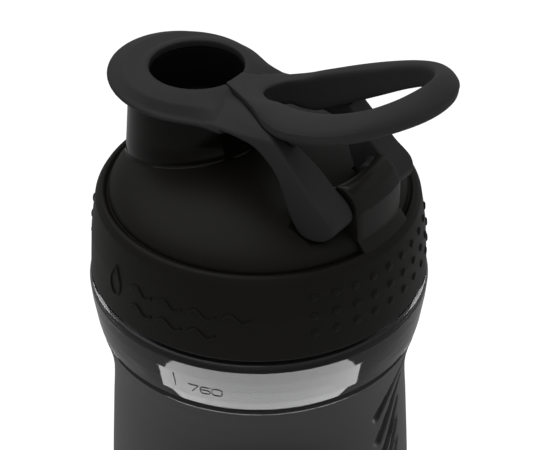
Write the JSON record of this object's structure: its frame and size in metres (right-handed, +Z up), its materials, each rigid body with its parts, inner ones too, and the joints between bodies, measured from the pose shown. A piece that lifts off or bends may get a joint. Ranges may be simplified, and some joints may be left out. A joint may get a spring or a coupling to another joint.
{
  "type": "shaker bottle",
  "caption": "Protein shaker bottle with a screw lid, a flip cap that plugs the drinking spout, a rigid carry loop and a loose wire whisk ball inside.",
  "frame": {"origin": "centre of the flat base the bottle stands on", "axes": "+Z up along the bottle and the lid's thread; the spout is on the -Y side and the flip cap's hinge on the +Y side, with its axis along X"},
  "size_m": [0.0952, 0.1054, 0.2358],
  "materials": {
    "smoke_clear": "smoke-tinted translucent moulded plastic",
    "satin_black": "satin, very dark smoke brown",
    "matte_charcoal": "matte charcoal",
    "soft_charcoal": "soft matte charcoal",
    "grey_silicone": "soft grey silicone",
    "steel_wire": "polished stainless wire"
  },
  "bodies": {
    "bottle": {"bottle_shell": "smoke_clear"},
    "lid_lift": {"lid_seal_ring": "grey_silicone"},
    "lid": {"lid_shell": "satin_black"},
    "flip_cap": {"cap_frame": "matte_charcoal", "carry_loop": "soft_charcoal", "spout_plug": "matte_charcoal", "plug_seal": "grey_silicone"},
    "whisk": {"whisk_ball": "steel_wire"}
  },
  "joints": [
    {"name": "lid_rise", "type": "slide", "parent": "bottle", "child": "lid_lift", "axis": [0, 0, 1], "range_m": [0, 0.0063]},
    {"name": "lid_turn", "type": "hinge", "parent": "lid_lift", "child": "lid", "pos_m": [0, 0, 0.1846], "axis": [0, 0, 1], "range_deg": [0, 450]},
    {"name": "cap_flip", "type": "hinge", "parent": "lid", "child": "flip_cap", "pos_m": [0, 0.031, 0.1975], "axis": [-1, 0, 0], "range_deg": [0, 117]},
    {"name": "whisk_travel", "type": "slide", "parent": "bottle", "child": "whisk", "axis": [0, 0, 1], "range_m": [0, 0.09]}
  ],
  "couplings": [
    {"joint": "lid_rise", "follows": "lid_turn", "m_per_rad": 0.00079577}
  ]
}
